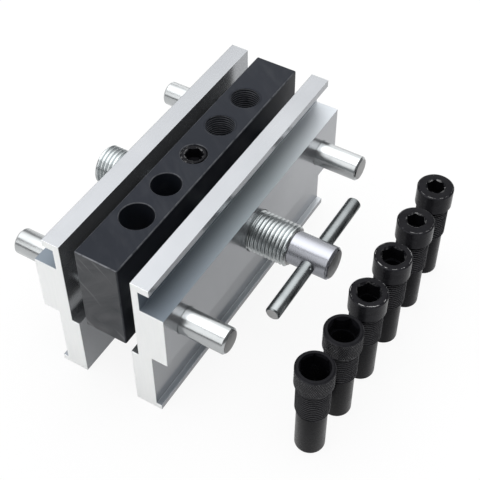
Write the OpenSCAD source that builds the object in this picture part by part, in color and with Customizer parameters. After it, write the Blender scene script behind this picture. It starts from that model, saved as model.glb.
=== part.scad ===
// Self centering doweling jig: a drilled guide block on two cross rods, two jaws that one
// left and right hand screw draws together, and six drill bushings that stand beside it.
// X is the clamping direction, Y runs along the row of guide holes and Z points up.
// The origin is the middle of the block's underside, which rests on the board's edge.

/* [Guide block] */
// Width of the guide block, along the clamping direction
block_w = 22.2; // [20.4:0.1:28]
// Length of the guide block, along its row of holes
block_l = 152.4; // [144:0.1:180]
// Height of the guide block
block_h = 50; // [44:0.5:56]
// Chamfer on the long and upright edges of the guide block
block_edge = 0.5; // [0.2:0.1:1.4]
// Distance from the centre of the outermost hole to the centre of the rod behind it
rod_to_hole = 16; // [14.6:0.1:18]
// Bore of the guide hole at the front end
front_hole_d = 15.9; // [12:0.1:17]
// Bore of the second guide hole
second_hole_d = 14.3; // [10:0.1:17]
// Chamfer at the mouth of every bore
hole_mouth = 0.4; // [0.2:0.1:0.8]

/* [Threaded seats] */
// Outer diameter of the thread that takes a bushing
seat_d = 15.9; // [15:0.1:17]
// Pitch of the thread that takes a bushing
seat_pitch = 1.41; // [1.2:0.01:1.6]
// Length of thread cut below the block's top face
seat_l = 21; // [20:0.5:30]
// How far the mouth of a seat opens beyond its thread
seat_mouth = 0.15; // [0.05:0.05:0.5]

/* [Retaining screw] */
// Outer diameter of the screw that holds the lead screw in the block
grub_d = 12.7; // [11:0.1:14]
// Pitch of the retaining screw
grub_pitch = 1.27; // [1.2:0.01:2.2]
// Depth of the retaining screw's top below the block's top face
grub_sink = 0.2; // [0:0.1:3]
// Key size of the retaining screw's hexagon socket
grub_key = 7.94; // [5:0.01:8]
// Depth of the hexagon socket in the retaining screw
grub_key_depth = 6; // [4:0.5:8]
// Turn of the retaining screw about its axis, in degrees
grub_turn = 32; // [0:1:60]
// Diameter of the plain point that enters the lead screw's groove
point_d = 6; // [4:0.1:7]
// Gap between the bottom of the groove and the point
point_gap = 0.4; // [0.3:0.1:0.8]

/* [Jaws] */
// Length of each jaw
jaw_l = 156.4; // [144:0.1:184]
// How far the middle of the jaws lies behind the middle of the block
jaw_shift = 0.8; // [0:0.1:2]
// Distance between the two clamping faces
jaw_opening = 29; // [26:0.1:36]
// Reach of the jaws below the block's underside
jaw_reach = 37.3; // [32:0.1:50]
// How far the jaws' top faces lie below the block's top face
jaw_drop = 1; // [0.5:0.1:3]
// Thickness of the clamping plate below the block
plate_t = 11.2; // [8:0.1:14]
// How far each jaw is set back beside the block
set_back = 4; // [2:0.1:5]
// Depth of the shoulder below the block's underside where the set back ends
set_back_drop = 1; // [0.5:0.1:6]
// Thickness of the thick middle of each jaw, from its set back face
jaw_body_t = 15.6; // [13:0.1:20]
// Height of the thick middle, equal above and below the rods
jaw_body_h = 31.8; // [26:0.2:36]
// Thickness of the thin wall above the thick middle
wall_t = 3.6; // [2.5:0.1:5]
// Thickness of the lip along the top
lip_t = 4; // [2:0.1:6]
// How far the lip stands out from the thin wall
lip_reach = 5.7; // [2:0.1:8]
// Thickness of the foot along the bottom
foot_t = 3.2; // [2:0.1:6]
// How far the foot stands out from the clamping plate
foot_reach = 2.9; // [1:0.1:5]

/* [Rods] */
// Diameter of the two guide rods
rod_d = 12.7; // [9:0.1:14]
// Length of each guide rod
rod_l = 114.3; // [100:0.1:130]
// Distance from the centre of each rod to the end of the block or the jaws, whichever is shorter
rod_inset = 14.6; // [13:0.1:20]
// Height of the rods and the lead screw above the block's underside
axis_z = 17; // [14:0.5:20]
// Chamfer on the ends of the rods
rod_edge = 1; // [0.3:0.1:2]

/* [Lead screw] */
// Outer diameter of the lead screw's threads
screw_d = 20.6; // [17:0.1:21]
// Pitch of the lead screw, left hand on one side and right hand on the other
screw_pitch = 2; // [1.5:0.1:2.5]
// Distance from the middle to the end of the left thread
left_thread_end = 53.5; // [48:0.5:60]
// Distance from the middle to the end of the right thread
right_thread_end = 54; // [48:0.5:58]
// Diameter of the plain spindle
spindle_d = 16.3; // [12:0.1:16.4]
// Distance from the middle to the end of the spindle
spindle_end = 75; // [72:0.5:84]
// Chamfer on the ends of the lead screw
screw_edge = 1.2; // [0.3:0.1:2]
// Play of the retaining screw's point in the groove, on each side
groove_play = 0.2; // [0.1:0.05:0.5]
// Depth of the groove in the middle of the lead screw
groove_depth = 2.5; // [1.5:0.1:3]

/* [Handle bar] */
// Diameter of the handle bar
bar_d = 7.1; // [5:0.05:8]
// Length of the handle bar
bar_l = 79.2; // [60:0.1:90]
// Distance from the middle of the jig to the handle bar
bar_x = 64.9; // [62:0.1:68]
// Chamfer on the ends of the handle bar
bar_edge = 0.7; // [0.2:0.1:1.2]

/* [Bushings] */
// Diameter of a bushing's head
head_d = 17.8; // [16.8:0.1:20]
// Height of a bushing's head
head_h = 11.4; // [9:0.1:14]
// Chamfer on the upper and lower edge of a head
head_edge = 0.7; // [0.3:0.1:0.8]
// How far a seated bushing stops above the block's underside
bushing_short = 4; // [1:0.1:8]
// Length of thread below a bushing's head
bushing_thread_l = 19; // [14:0.5:20]
// Radial gap between a bushing's plain shank and its seat
shank_gap = 0.12; // [0.05:0.01:0.2]
// Depth of the hexagon socket in a bushing's head
socket_depth = 8; // [5:0.5:10]
// Chamfer on a bushing's lower end
tail_edge = 0.4; // [0.2:0.1:0.6]
// Bore of the smallest bushing
bore_1_d = 4.76; // [3:0.01:6]
// Bore of the second bushing
bore_2_d = 6.35; // [4:0.01:7]
// Bore of the third bushing
bore_3_d = 7.94; // [6:0.01:8.5]
// Bore of the fourth bushing
bore_4_d = 9.53; // [7:0.01:9.8]
// Bore of the fifth bushing
bore_5_d = 11.11; // [9:0.01:11.5]
// Bore of the largest bushing
bore_6_d = 12.7; // [12.3:0.01:12.9]
// Key size of the sockets of the two smallest bushings
small_key = 8; // [7.5:0.1:9]
// Key size of the sockets of the two middle bushings
middle_key = 10; // [9.9:0.1:11]
// Key size of the sockets of the two largest bushings
large_key = 12; // [11.6:0.1:12.2]
// Distance from the middle of the jig to the row of bushings
row_x = 96; // [88:0.2:120]
// Mean distance between standing bushings
row_step = 24.6; // [21:0.1:30]
// Place of the middle of the row along the jig
row_y = 5.6; // [-20:0.2:20]

/* [Fits] */
// Radial running clearance of the jaws on the rods
rod_fit = 0.05; // [0.02:0.01:0.1]
// Radial running clearance of the lead screw in the block and the jaws
screw_fit = 0.05; // [0.02:0.01:0.1]
// Radial clearance of a thread in its tapped hole
thread_fit = 0.05; // [0.02:0.01:0.1]
// Radial interference of a pressed pin
press = 0.01; // [0.005:0.005:0.02]

/* [Hidden] */

$fn = 96;
// Overrun of every cut past the face it opens
over = 1;
// A thread's crest, root and depth as shares of its pitch, for flanks at sixty degrees
crest_share = 0.125;
root_share = 0.25;
depth_share = 0.541;
// Place of each standing bushing in shares of the row's step, measured from the row's middle
place_shares = [
    [-0.05, 2.49], [0, 1.46], [0.02, 0.43], [0.02, -0.58], [0.02, -1.56], [-0.03, -2.51]
];
// Turn of each bushing's socket about its axis, in degrees
socket_turns = [0, 0, 0, 0, 32, 0];

rod_span = min(block_l, jaw_l) - 2 * rod_inset;
hole_pitch = (rod_span / 2 - rod_to_hole) / 2;
bores = [bore_1_d, bore_2_d, bore_3_d, bore_4_d, bore_5_d, bore_6_d];
keys = [small_key, small_key, middle_key, middle_key, large_key, large_key];
bushing_reach = block_h - bushing_short;
bushing_h = bushing_reach + head_h;
seat_core_d = seat_d - 2 * depth_share * seat_pitch;
shank_d = seat_core_d - 2 * shank_gap;
floor_z = -jaw_reach;
clamp_x = jaw_opening / 2;
inner_x = clamp_x + set_back;
outer_x = inner_x + jaw_body_t;
wall_x = inner_x + wall_t;
plate_x = clamp_x + plate_t;
body_top = axis_z + jaw_body_h / 2;
body_bottom = axis_z - jaw_body_h / 2;
jaw_top = block_h - jaw_drop;
screw_bore_d = screw_d + 2 * screw_fit;
groove_w = point_d + 2 * groove_play;
groove_r = screw_d / 2 - groove_depth;
journal_x = block_w / 2;
grub_top = block_h - grub_sink;
point_z = axis_z + groove_r + point_gap;
grub_bottom = axis_z + screw_bore_d / 2 + point_gap;

// One turn of thread profile as radius and place along the axis: root, flank up, crest, flank down
function thread_turn(d, pitch, start) =
    let (core_r = d / 2 - depth_share * pitch)
    let (half_root = root_share * pitch / 2)
    let (half_crest = crest_share * pitch / 2)
    [
        [core_r, start + half_root],
        [d / 2, start + pitch / 2 - half_crest],
        [d / 2, start + pitch / 2 + half_crest],
        [core_r, start + pitch - half_root]
    ];

// Thread profile over as many whole turns as fit between two places, starting at the first
function thread_profile(d, pitch, from, to) =
    [for (i = [0 : floor((to - from) / pitch) - 1])
        each thread_turn(d, pitch, from + i * pitch)];

// Thread profile that ends exactly at the second place
function thread_profile_back(d, pitch, from, to) =
    thread_profile(d, pitch, to - pitch * floor((to - from) / pitch), to);

// Rectangle with cut corners, standing on the X axis or centred on it
module cut_corner_rectangle(w, h, edge, centred = false) {
    translate([-w / 2, centred ? -h / 2 : 0])
        polygon([
            [edge, 0], [w - edge, 0], [w, edge], [w, h - edge],
            [w - edge, h], [edge, h], [0, h - edge], [0, edge]
        ]);
}

// Round bar along Z, centred, with chamfered ends
module chamfered_bar(d, l, edge) {
    rotate_extrude()
        polygon([
            [0, -l / 2], [d / 2 - edge, -l / 2], [d / 2, edge - l / 2],
            [d / 2, l / 2 - edge], [d / 2 - edge, l / 2], [0, l / 2]
        ]);
}

// Cut for a bore along Z from z = 0 to z = l that opens at both ends through a chamfer
module bore_cut(d, l, mouth) {
    rotate_extrude()
        polygon([
            [0, -over], [d / 2 + mouth + over, -over], [d / 2, mouth],
            [d / 2, l - mouth], [d / 2 + mouth + over, l + over], [0, l + over]
        ]);
}

// Cut for a tapped seat: core bore right through, thread from the top face down
module seat_cut() {
    rotate_extrude()
        polygon(concat(
            [[0, -over], [seat_core_d / 2 + hole_mouth + over, -over], [seat_core_d / 2, hole_mouth]],
            thread_profile_back(seat_d, seat_pitch, block_h - seat_l, block_h - hole_mouth),
            [[seat_core_d / 2, block_h - hole_mouth],
             [seat_d / 2 + seat_mouth, block_h],
             [seat_d / 2 + seat_mouth, block_h + over], [0, block_h + over]]
        ));
}

module guide_block() {
    color([0.10, 0.10, 0.11])
    difference() {
        intersection() {
            linear_extrude(block_h)
                cut_corner_rectangle(block_w, block_l, block_edge, true);
            rotate([90, 0, 0])
                linear_extrude(block_l, center = true)
                    cut_corner_rectangle(block_w, block_h, block_edge);
            rotate([90, 0, 90])
                linear_extrude(block_w, center = true)
                    cut_corner_rectangle(block_l, block_h, block_edge);
        }
        translate([0, -2 * hole_pitch, 0])
            bore_cut(front_hole_d, block_h, hole_mouth);
        translate([0, -hole_pitch, 0])
            bore_cut(second_hole_d, block_h, hole_mouth);
        translate([0, 0, axis_z])
            bore_cut(grub_d + 2 * thread_fit, block_h - axis_z, hole_mouth);
        translate([0, hole_pitch, 0])
            seat_cut();
        translate([0, 2 * hole_pitch, 0])
            seat_cut();
        translate([-block_w / 2, 0, axis_z])
            rotate([0, 90, 0])
                bore_cut(screw_bore_d, block_w, hole_mouth);
        for (side = [-1, 1])
            translate([-block_w / 2, side * rod_span / 2, axis_z])
                rotate([0, 90, 0])
                    bore_cut(rod_d - 2 * press, block_w, hole_mouth);
    }
}

// Right jaw, cut from one bar of the section below; the left jaw is its mirror image
module jaw() {
    color([0.80, 0.81, 0.83])
    difference() {
        translate([0, jaw_shift, 0])
            rotate([90, 0, 0])
                linear_extrude(jaw_l, center = true)
                    polygon([
                        [inner_x, jaw_top], [wall_x + lip_reach, jaw_top],
                        [wall_x + lip_reach, jaw_top - lip_t], [wall_x, jaw_top - lip_t],
                        [wall_x, body_top], [outer_x, body_top], [outer_x, body_bottom],
                        [plate_x, body_bottom], [plate_x, floor_z + foot_t],
                        [plate_x + foot_reach, floor_z + foot_t],
                        [plate_x + foot_reach, floor_z], [clamp_x, floor_z],
                        [clamp_x, -set_back_drop], [inner_x, -set_back_drop]
                    ]);
        translate([inner_x, 0, axis_z])
            rotate([0, 90, 0])
                bore_cut(screw_bore_d, jaw_body_t, hole_mouth);
        for (side = [-1, 1])
            translate([inner_x, side * rod_span / 2, axis_z])
                rotate([0, 90, 0])
                    bore_cut(rod_d + 2 * rod_fit, jaw_body_t, hole_mouth);
    }
}

module right_jaw() {
    jaw();
}

module left_jaw() {
    mirror([1, 0, 0])
        jaw();
}

// Guide rod at the given place along the jig
module guide_rod(y) {
    color([0.70, 0.72, 0.74])
    translate([0, y, axis_z])
        rotate([0, 90, 0])
            chamfered_bar(rod_d, rod_l, rod_edge);
}

// Screw turned from one bar: left thread, journal with its groove, right thread, spindle
module lead_screw() {
    thread_core_r = screw_d / 2 - depth_share * screw_pitch;
    color([0.74, 0.75, 0.75])
    translate([0, 0, axis_z])
        difference() {
            rotate([0, 90, 0])
                rotate_extrude()
                    polygon(concat(
                        [[0, -left_thread_end], [thread_core_r, -left_thread_end]],
                        thread_profile(screw_d, screw_pitch, -left_thread_end, -journal_x),
                        [[thread_core_r, -journal_x], [screw_d / 2, -journal_x],
                         [screw_d / 2, -groove_w / 2], [groove_r, -groove_w / 2],
                         [groove_r, groove_w / 2], [screw_d / 2, groove_w / 2],
                         [screw_d / 2, journal_x], [thread_core_r, journal_x]],
                        thread_profile_back(screw_d, screw_pitch, journal_x, right_thread_end),
                        [[thread_core_r, right_thread_end], [spindle_d / 2, right_thread_end],
                         [spindle_d / 2, spindle_end - screw_edge],
                         [spindle_d / 2 - screw_edge, spindle_end], [0, spindle_end]]
                    ));
            translate([bar_x, 0, 0])
                rotate([90, 0, 0])
                    cylinder(d = bar_d - 2 * press, h = spindle_d + 2 * over, center = true);
        }
}

module tommy_bar() {
    color([0.76, 0.77, 0.77])
    translate([bar_x, 0, axis_z])
        rotate([90, 0, 0])
            chamfered_bar(bar_d, bar_l, bar_edge);
}

module retaining_screw() {
    grub_core_r = grub_d / 2 - depth_share * grub_pitch;
    color([0.12, 0.12, 0.13])
    difference() {
        rotate_extrude()
            polygon(concat(
                [[0, point_z], [point_d / 2, point_z], [point_d / 2, grub_bottom],
                 [grub_core_r, grub_bottom]],
                thread_profile_back(grub_d, grub_pitch, grub_bottom, grub_top),
                [[grub_core_r, grub_top], [0, grub_top]]
            ));
        translate([0, 0, grub_top - grub_key_depth])
            rotate([0, 0, grub_turn])
                cylinder(r = grub_key / (2 * cos(30)), h = grub_key_depth + over, $fn = 6);
    }
}

// Drill bushing number i, standing on its lower end at its place in the row
module bushing(i) {
    share = place_shares[i];
    corner_r = keys[i] / (2 * cos(30));
    thread_d = seat_d - 2 * thread_fit;
    color([0.11, 0.11, 0.12])
    translate([row_x + share[0] * row_step, row_y + share[1] * row_step, floor_z])
        difference() {
            rotate_extrude()
                polygon(concat(
                    [[0, 0], [shank_d / 2 - tail_edge, 0], [shank_d / 2, tail_edge],
                     [shank_d / 2, bushing_reach - bushing_thread_l]],
                    thread_profile_back(thread_d, seat_pitch,
                        bushing_reach - bushing_thread_l, bushing_reach),
                    [[shank_d / 2, bushing_reach], [head_d / 2 - head_edge, bushing_reach],
                     [head_d / 2, bushing_reach + head_edge],
                     [head_d / 2, bushing_h - head_edge],
                     [head_d / 2 - head_edge, bushing_h], [0, bushing_h]]
                ));
            translate([0, 0, -over])
                cylinder(d = bores[i], h = bushing_h + 2 * over);
            translate([0, 0, bushing_h - socket_depth])
                rotate([0, 0, socket_turns[i]])
                    cylinder(r = corner_r, h = socket_depth + over, $fn = 6);
        }
}

guide_block();
left_jaw();
right_jaw();
guide_rod(-rod_span / 2);  // front_rod
guide_rod(rod_span / 2);  // rear_rod
lead_screw();
tommy_bar();
retaining_screw();
bushing(0);  // bushing_3_16
bushing(1);  // bushing_1_4
bushing(2);  // bushing_5_16
bushing(3);  // bushing_3_8
bushing(4);  // bushing_7_16
bushing(5);  // bushing_1_2
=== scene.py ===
# %% [markdown]
# # Self centering doweling jig
#
# The real tool clamps the edge of a board between two aluminium jaws, and the black steel block
# in the middle guides the drill into the centre of the edge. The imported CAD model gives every
# piece its size and its place, and this lesson dresses it: each piece is worked out again as a
# surface with numpy, with the detail that the plain solid leaves out, such as screw threads
# that really climb, a knurl and rounded edges. All lengths below are written in millimetres
# and turned into metres when a mesh is made.

import bmesh
import bpy
import numpy as np
from mathutils import Matrix, Vector


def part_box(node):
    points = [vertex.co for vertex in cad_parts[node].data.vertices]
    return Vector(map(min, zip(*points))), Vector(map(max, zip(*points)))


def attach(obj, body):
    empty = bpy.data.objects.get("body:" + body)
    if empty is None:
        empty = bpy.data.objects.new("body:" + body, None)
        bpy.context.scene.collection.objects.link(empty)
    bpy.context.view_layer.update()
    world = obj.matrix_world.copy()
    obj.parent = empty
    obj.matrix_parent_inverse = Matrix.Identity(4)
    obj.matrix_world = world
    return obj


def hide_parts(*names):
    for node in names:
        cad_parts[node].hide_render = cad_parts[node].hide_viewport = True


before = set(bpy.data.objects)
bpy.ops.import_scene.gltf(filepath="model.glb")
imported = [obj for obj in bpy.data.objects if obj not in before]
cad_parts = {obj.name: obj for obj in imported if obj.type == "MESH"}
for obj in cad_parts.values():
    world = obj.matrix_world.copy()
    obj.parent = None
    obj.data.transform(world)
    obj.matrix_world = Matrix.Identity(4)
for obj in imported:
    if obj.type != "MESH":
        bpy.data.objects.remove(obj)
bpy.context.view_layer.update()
MM = 0.001
TURN = 2 * np.pi
print("nodes:", sorted(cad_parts))

# %% [markdown]
# ## The camera
#
# The picture was taken with a longish lens from the front right, looking down by about 47
# degrees. A camera can be placed by eye or be turned by three angles. Here it stands on a line
# from a target point and is built from its three axes, because the small roll of the picture
# can then be kept too. The numbers come from a fit to the corners of the jig.

# %% Camera
AZIMUTH, ELEVATION, ROLL = np.radians([31.665, 46.834, -0.538])
TARGET = np.array([0.0, 39.763, -27.461]) * MM
DISTANCE = 568.37 * MM
SENSOR_WIDTH, LENS, PICTURE_SHIFT, NEAREST = 36, 79.93, -0.0521, 0.01

back = np.array([np.sin(AZIMUTH) * np.cos(ELEVATION),
                 -np.cos(AZIMUTH) * np.cos(ELEVATION), np.sin(ELEVATION)])
side = np.cross(-back, [0, 0, 1])
side /= np.linalg.norm(side)
rise = np.cross(side, -back)
across = side * np.cos(ROLL) + rise * np.sin(ROLL)
upward = rise * np.cos(ROLL) - side * np.sin(ROLL)

camera = bpy.data.objects.new("camera", bpy.data.cameras.new("camera"))
bpy.context.scene.collection.objects.link(camera)
axes = np.eye(4)
axes[:3, :4] = np.stack([across, upward, back, TARGET + back * DISTANCE], axis=1)
camera.matrix_world = Matrix(axes.tolist())
camera.data.sensor_width = SENSOR_WIDTH
camera.data.lens = LENS
camera.data.shift_y = PICTURE_SHIFT
camera.data.clip_start = NEAREST
bpy.context.scene.camera = camera
print("camera stands at", np.round(TARGET + back * DISTANCE, 3))

# %% [markdown]
# ## From a grid of points to a mesh
#
# A turned bar, a thread or a bushing is a sheet of points with rows and columns, bent round
# until it closes. Blender's Spin and Screw tools make such sheets too, but leave seams and open
# ends. Here the grid is made into faces as a whole, and points that fall together are merged:
# that closes the seam, the poles and the ends of a thread in one go.


# %% Put a mesh in the scene
def put_in_scene(name, mesh):
    """Links a mesh as an object at the world's origin, neither turned nor scaled."""
    piece = bpy.data.objects.new(name, mesh)
    bpy.context.scene.collection.objects.link(piece)
    return piece


def clean_mesh(mesh, apart=1e-6):
    """Merges points closer than a micrometre and turns the faces outwards."""
    work = bmesh.new()
    work.from_mesh(mesh)
    bmesh.ops.remove_doubles(work, verts=work.verts, dist=apart)
    bmesh.ops.dissolve_degenerate(work, edges=work.edges, dist=apart)
    bmesh.ops.recalc_face_normals(work, faces=work.faces)
    work.to_mesh(mesh)
    work.free()
    mesh.update()


def smooth_curves(piece, sharp=25):
    """Shades curved walls smoothly and keeps every edge that turns by more than sharp degrees."""
    piece.data.shade_smooth()
    piece.data.set_sharp_from_angle(angle=np.radians(sharp))


# %% Grid to mesh
def grid_piece(name, x, y, z):
    """A closed piece from a grid: point (row, column) has its place in the three arrays, in
    millimetres, and each four neighbours span a face."""
    points = np.stack(np.broadcast_arrays(x, y, z), axis=-1) * MM
    rows, columns = points.shape[:2]
    index = np.arange(rows * columns, dtype=np.int32).reshape(rows, columns)
    corners = np.stack([index[:-1, :-1], index[:-1, 1:], index[1:, 1:], index[1:, :-1]], axis=-1)
    faces = corners.size // 4
    mesh = bpy.data.meshes.new(name)
    mesh.vertices.add(rows * columns)
    mesh.vertices.foreach_set("co", points.astype(np.float32).ravel())
    mesh.loops.add(corners.size)
    mesh.loops.foreach_set("vertex_index", corners.ravel())
    mesh.polygons.add(faces)
    mesh.polygons.foreach_set("loop_start", np.arange(faces, dtype=np.int32) * 4)
    mesh.update(calc_edges=True)
    clean_mesh(mesh)
    piece = put_in_scene(name, mesh)
    smooth_curves(piece)
    print(name, len(mesh.polygons), "faces")
    return piece


# %% [markdown]
# ## Profiles and threads
#
# A thread is a ridge that climbs as it goes round, cut by a die, by a tap or on a lathe. On the
# grid every column stands at its own angle, and its profile of root, flank and crest is shifted
# along the axis by its share of the pitch. At both ends the shifted rows are clipped, and the
# ridge is lowered to the root, as the run-out of the real cut leaves it. Nothing has to be
# wound or joined, so this way was chosen.


# %% Thread profile
CREST_SHARE, ROOT_SHARE, DEPTH_SHARE = 0.125, 0.25, 0.541
SOFT = 0.03
RIDGE = np.array([0, 0.07, 0.93, 1, 1, 0.93, 0.07, 0])
print("a thread is", DEPTH_SHARE, "of its pitch deep")


def angles(columns):
    """Angles of the columns, from zero to a whole turn, both ends included."""
    return np.linspace(0, TURN, columns + 1)[None, :]


def thread_rows(outer, pitch, start, end, theta, hand=1, run_out=0.6):
    """Rows of a thread between two places on its axis, as (place, radius) arrays.
    Place = start + pitch x (turn + share of the profile + hand x angle / whole turn), clipped to
    the ends. Radius follows the ridge from root to crest and stays below a cone at either end.
    A spare turn before the start makes both sides of the seam begin at the same points."""
    core = outer / 2 - DEPTH_SHARE * pitch
    root, crest = ROOT_SHARE / 2, CREST_SHARE / 2
    share = np.array([root - SOFT, root + SOFT, 0.5 - crest - SOFT, 0.5 - crest + SOFT,
                      0.5 + crest - SOFT, 0.5 + crest + SOFT, 1 - root - SOFT, 1 - root + SOFT])
    turns = np.arange(-2, int(np.ceil((end - start) / pitch)) + 1)
    along = (turns[:, None] + share[None, :]).ravel()[:, None]
    radius = core + (outer / 2 - core) * np.tile(RIDGE, len(turns))[:, None]
    climb = start + pitch * (along + hand * theta / TURN)
    radius = np.broadcast_to(radius, climb.shape)
    spot = np.clip(climb, start, end)
    low = core + (spot - start) / run_out * (outer / 2 - core)
    high = core + (end - spot) / run_out * (outer / 2 - core)
    return spot, np.minimum(radius, np.minimum(low, high))


def plain_rows(profile, theta):
    """Rows of a plain turned stretch: each (place, radius) pair of the profile goes all round."""
    spot, radius = np.array(profile, float).T
    return (np.broadcast_to(spot[:, None], (len(spot), theta.size)),
            np.broadcast_to(radius[:, None], (len(radius), theta.size)))


def stack(*parts):
    """Joins stretches of rows, in the order in which they follow each other along the piece."""
    return (np.concatenate([p[0] for p in parts]), np.concatenate([p[1] for p in parts]))


# %% [markdown]
# ## Guide rods
#
# The two rods are cut from ground bar, chamfered on a lathe and bright plated. A cylinder with
# a bevel would do, but a profile carried round needs no modifier: it runs from the pole of one
# end, over its chamfer, along the bar and back to the other pole. Two more points beside each
# corner round it off a little, which is what catches the light.


# %% Turned bars
def soft_corner(profile, soft=0.12):
    """Replaces each inner corner by three points: one soft millimetres before it, one soft
    millimetres after it, and between them the mean of the corner and the middle of these two."""
    p = np.array(profile, float)
    before = p[1:-1] - p[:-2]
    after = p[2:] - p[1:-1]
    b = np.linalg.norm(before, axis=1, keepdims=True)
    a = np.linalg.norm(after, axis=1, keepdims=True)
    first = p[1:-1] - before / b * np.minimum(soft, b / 3)
    second = p[1:-1] + after / a * np.minimum(soft, a / 3)
    inner = np.stack([first, p[1:-1] * 0.5 + (first + second) * 0.25, second], axis=1)
    return np.concatenate([p[:1], inner.reshape(-1, 2), p[-1:]])


def bar_profile(half, radius, edge):
    """Half length, radius and chamfer of a bar give its profile from pole to pole."""
    return soft_corner([[-half, 0], [-half, radius - edge], [edge - half, radius],
                        [half - edge, radius], [half, radius - edge], [half, 0]])


def box_mm(node):
    """Lowest and highest corner of a CAD node in millimetres."""
    low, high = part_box(node)
    return np.array(low) / MM, np.array(high) / MM


# %% Guide rods
ROUND = angles(96)
ROD_EDGE = 1.0

rods = {}
for node in ("front_rod", "rear_rod"):
    low, high = box_mm(node)
    middle = (low + high) / 2
    line = bar_profile((high - low)[0] / 2, (high - low)[2] / 2, ROD_EDGE)
    along, radius = plain_rows(line, ROUND)
    rods[node] = grid_piece(node + "_plated", middle[0] + along,
                            middle[1] + radius * np.cos(ROUND),
                            middle[2] + radius * np.sin(ROUND))

# %% [markdown]
# ## Lead screw
#
# One bar carries a left hand and a right hand thread, so one turn of the handle moves both
# jaws by the same amount. Seen from the handle a clockwise turn closes them. Between the
# threads lies the plain journal with the groove for the retaining screw, and on the right the
# spindle. Separate cylinders could be joined, but here the whole bar is one closed grid whose
# rows run from the left end to the right end, so no step or seam shows between the stretches.

# %% Lead screw
AXIS_Z = 17.0
SCREW_R, SCREW_PITCH = 10.3, 2.0
CORE_R = SCREW_R - DEPTH_SHARE * SCREW_PITCH
LEFT_END, RIGHT_END, JOURNAL_X = -53.5, 54.0, 11.1
SPINDLE_R, SPINDLE_END, SPINDLE_EDGE = 8.15, 75.0, 1.2
GROOVE_HALF, GROOVE_R, END_STEP = 3.2, 7.8, 0.5

screw_rows = stack(
    plain_rows([[LEFT_END, 0], [LEFT_END, CORE_R - END_STEP]], ROUND),
    thread_rows(2 * SCREW_R, SCREW_PITCH, LEFT_END, -JOURNAL_X, ROUND, hand=1),
    plain_rows(soft_corner([[-JOURNAL_X, CORE_R], [-JOURNAL_X, SCREW_R],
                            [-GROOVE_HALF, SCREW_R], [-GROOVE_HALF, GROOVE_R],
                            [GROOVE_HALF, GROOVE_R], [GROOVE_HALF, SCREW_R],
                            [JOURNAL_X, SCREW_R], [JOURNAL_X, CORE_R]]), ROUND),
    thread_rows(2 * SCREW_R, SCREW_PITCH, JOURNAL_X, RIGHT_END, ROUND, hand=-1),
    plain_rows(soft_corner([[RIGHT_END, CORE_R],
                            [RIGHT_END, SPINDLE_R], [SPINDLE_END - SPINDLE_EDGE, SPINDLE_R],
                            [SPINDLE_END, SPINDLE_R - SPINDLE_EDGE], [SPINDLE_END, 0]]), ROUND))
lead_screw = grid_piece("lead_screw_plated", screw_rows[0], screw_rows[1] * np.cos(ROUND),
                        AXIS_Z + screw_rows[1] * np.sin(ROUND))

# %% [markdown]
# ## Tommy bar
#
# The handle bar goes through the spindle and is held by a punch mark on each side, so that it
# can't slide out. A mark could be pressed in with a sculpting brush or a Boolean. Here it is
# part of the surface: the radius is lowered by a small bell shape, and the rows of the grid
# stand closer together where the marks lie.

# %% Tommy bar
low, high = box_mm("tommy_bar")
BAR_X, BAR_R, BAR_HALF = (low + high)[0] / 2, (high - low)[0] / 2, (high - low)[1] / 2
BAR_EDGE = 0.7
STAKES = [(-9.7, 0.75), (9.7, 3.9)]
STAKE_DEPTH, STAKE_REACH = 0.45, 0.55
CLOSE_FROM, CLOSE_TO, CLOSE_ROWS = 7, 12, 41


def stake_marks(along, theta, radius):
    """Radius minus depth x e to the power of minus (distance / reach) squared, where the
    distance from a mark's centre is measured along the bar and round it."""
    for spot, angle in STAKES:
        away = np.hypot(along - spot, (theta - angle) * BAR_R)
        radius = radius - STAKE_DEPTH * np.exp(-(away / STAKE_REACH) ** 2)
    return radius


bar_line = bar_profile(BAR_HALF, BAR_R, BAR_EDGE)
split = np.searchsorted(bar_line[:, 0], 0)
close = np.concatenate([np.linspace(-CLOSE_TO, -CLOSE_FROM, CLOSE_ROWS),
                        np.linspace(CLOSE_FROM, CLOSE_TO, CLOSE_ROWS)])
close_line = np.stack([close, np.full(close.size, BAR_R)], axis=1)
bar_line = np.concatenate([bar_line[:split], close_line, bar_line[split:]])
FINE_ROUND = angles(120)
along, radius = plain_rows(bar_line, FINE_ROUND)
radius = np.where(radius > 0, stake_marks(along, FINE_ROUND, radius), 0)
tommy_bar = grid_piece("tommy_bar_plated", BAR_X + radius * np.cos(FINE_ROUND), along,
                       AXIS_Z + radius * np.sin(FINE_ROUND))

# %% [markdown]
# ## Retaining screw
#
# A socket set screw sits almost level with the top of the block, and its plain point keeps the
# lead screw from travelling. The hexagon socket could be cut out with a Boolean. Here it
# belongs to the same grid as the outside, which keeps the mesh closed and light: the wall's
# radius is half the key size divided by the cosine of the angle from the middle of the
# nearest flat, and a short cone leads into it.


# %% Hexagon socket
def hexagon(key, theta, turn=0.0):
    """Distance from the axis to the wall of a hexagon with that key size at each angle."""
    sixth = TURN / 6
    return key / 2 / np.cos(np.mod(theta - turn, sixth) - sixth / 2)


def socket_rows(key, top, depth, lead_r, theta, turn=0.0, bore_r=0.0, slope=0.6):
    """Rows down into a hexagon socket: lead-in circle, wall below the cone, wall at the floor.
    The cone drops by slope times the way from the circle in to the wall."""
    wall = np.maximum(hexagon(key, theta, turn), bore_r)
    mouth = np.maximum(wall, lead_r)
    height = np.stack([np.full(theta.size, top), (top - slope * (mouth - wall)).ravel(),
                       np.full(theta.size, top - depth)])
    return height, np.concatenate([mouth, wall, wall])


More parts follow.
